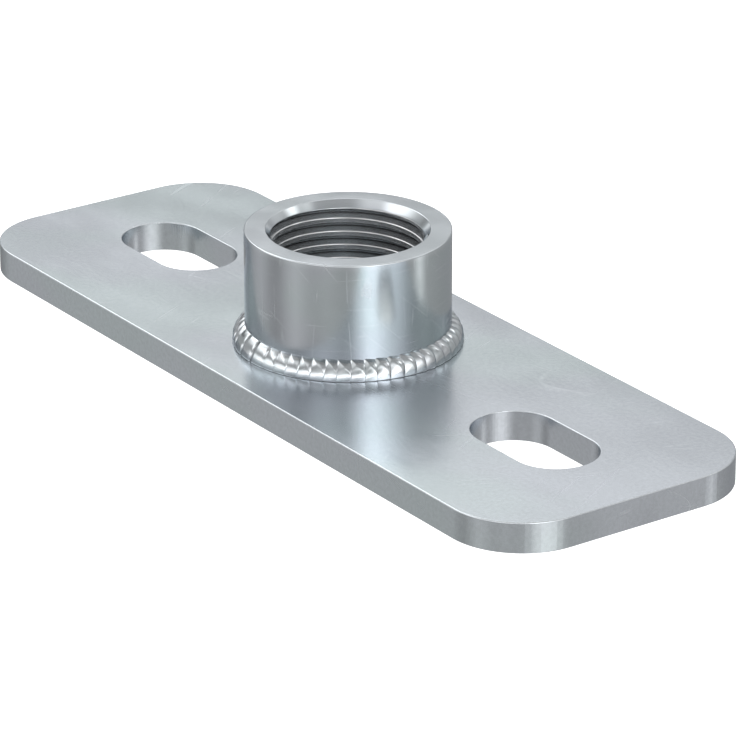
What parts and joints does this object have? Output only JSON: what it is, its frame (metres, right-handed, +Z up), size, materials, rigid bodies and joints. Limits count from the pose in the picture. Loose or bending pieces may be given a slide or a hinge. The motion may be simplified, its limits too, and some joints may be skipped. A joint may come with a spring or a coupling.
{
  "type": "base plate",
  "caption": "Flat steel plate with rounded corners, a fixing slot near each end and a short internally threaded pipe socket welded upright on its middle.",
  "frame": {"origin": "middle of the plate's underside, on the socket's axis", "axes": "+X along the plate's length, +Y across its width, +Z up through the socket and out of its mouth"},
  "size_m": [0.12, 0.04, 0.019],
  "materials": {
    "plate_steel": "bright zinc plated flat bar, satin, lightly scratched",
    "socket_steel": "turned steel, bright zinc plated",
    "weld_steel": "rippled weld metal, bright zinc plated"
  },
  "bodies": {
    "root": {"base_plate": "plate_steel", "threaded_socket": "socket_steel", "weld_bead": "weld_steel"}
  },
  "joints": []
}
